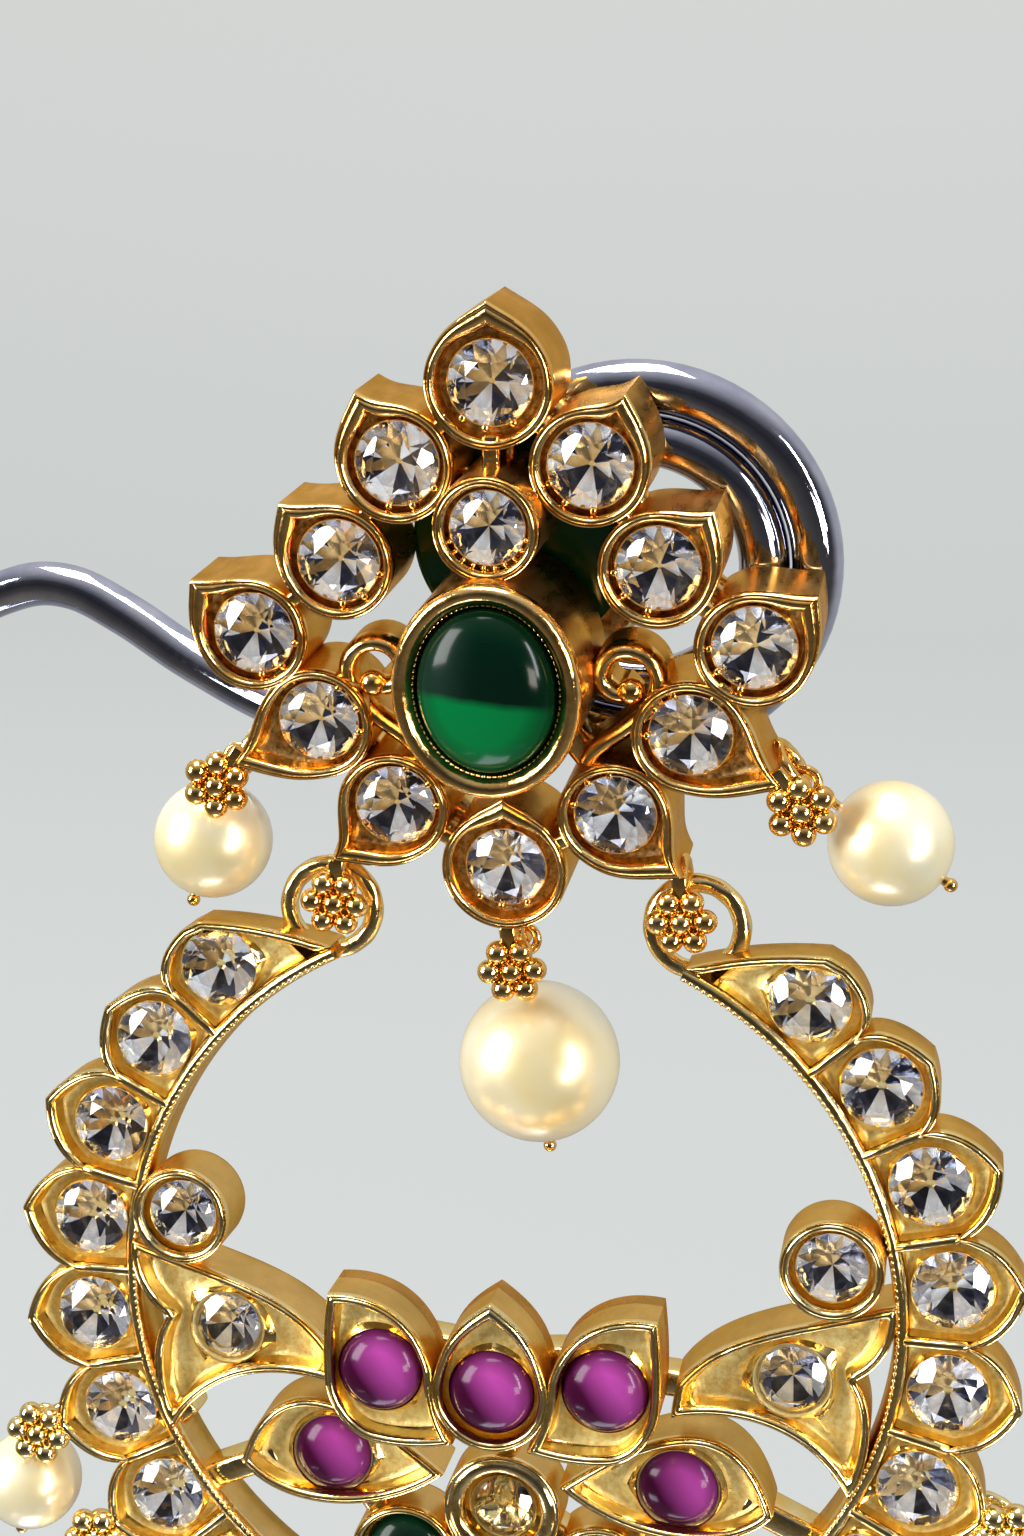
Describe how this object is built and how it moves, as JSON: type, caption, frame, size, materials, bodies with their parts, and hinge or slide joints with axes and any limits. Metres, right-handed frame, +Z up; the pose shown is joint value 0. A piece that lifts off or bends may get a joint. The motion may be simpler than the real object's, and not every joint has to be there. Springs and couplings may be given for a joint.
{
  "type": "chandbali earring on a plain wire stand",
  "caption": "Stone-set flower stud with hinged crescent drop and pearl fringe, hanging from a coiled chrome wire on a round foot.",
  "frame": {"origin": "centre of the foot's underside", "axes": "+Z up, front towards -Y, +X to the right of the front"},
  "size_m": [0.06, 0.06, 0.0705],
  "materials": {
    "gold": "polished cast gold with satin walls",
    "chrome": "polished",
    "white_stone": "faceted, clear",
    "green_stone": "polished cabochon, deep green",
    "purple_stone": "polished cabochon, deep purple",
    "pearl": "cream pearl with a soft lustre"
  },
  "bodies": {
    "stud": {"stand_foot": "chrome", "stand_wire": "chrome", "stud_frame": "gold", "ear_post": "gold", "emerald_oval": "green_stone", "stone_round": "white_stone", "stone_petal_1": "white_stone", "stone_petal_2": "white_stone", "stone_petal_3": "white_stone", "stone_petal_4": "white_stone", "stone_petal_5": "white_stone", "stone_petal_6": "white_stone", "stone_petal_7": "white_stone", "stone_petal_8": "white_stone", "stone_petal_9": "white_stone", "stone_petal_10": "white_stone", "stone_petal_11": "white_stone", "stone_petal_12": "white_stone", "pearl_left": "pearl", "pearl_middle": "pearl", "pearl_right": "pearl", "pin_left": "gold", "pin_middle": "gold", "pin_right": "gold"},
    "crescent": {"crescent_frame": "gold", "crescent_stones_left": "white_stone", "crescent_stones_right": "white_stone", "stone_bead_left": "white_stone", "stone_bead_right": "white_stone", "stone_wing_left": "white_stone", "stone_wing_right": "white_stone", "stone_centre": "white_stone", "stone_drop": "white_stone", "ruby_crown_left": "purple_stone", "ruby_crown_middle": "purple_stone", "ruby_crown_right": "purple_stone", "ruby_leaf_left": "purple_stone", "ruby_leaf_right": "purple_stone", "emerald_left": "green_stone", "emerald_right": "green_stone", "edge_pearls": "pearl", "edge_pins": "gold"}
  },
  "joints": [
    {"name": "crescent_swing", "type": "hinge", "parent": "stud", "child": "crescent", "pos_m": [0, 0.00084, 0.04982], "axis": [1, 0, 0], "range_deg": [-13, 20]}
  ]
}
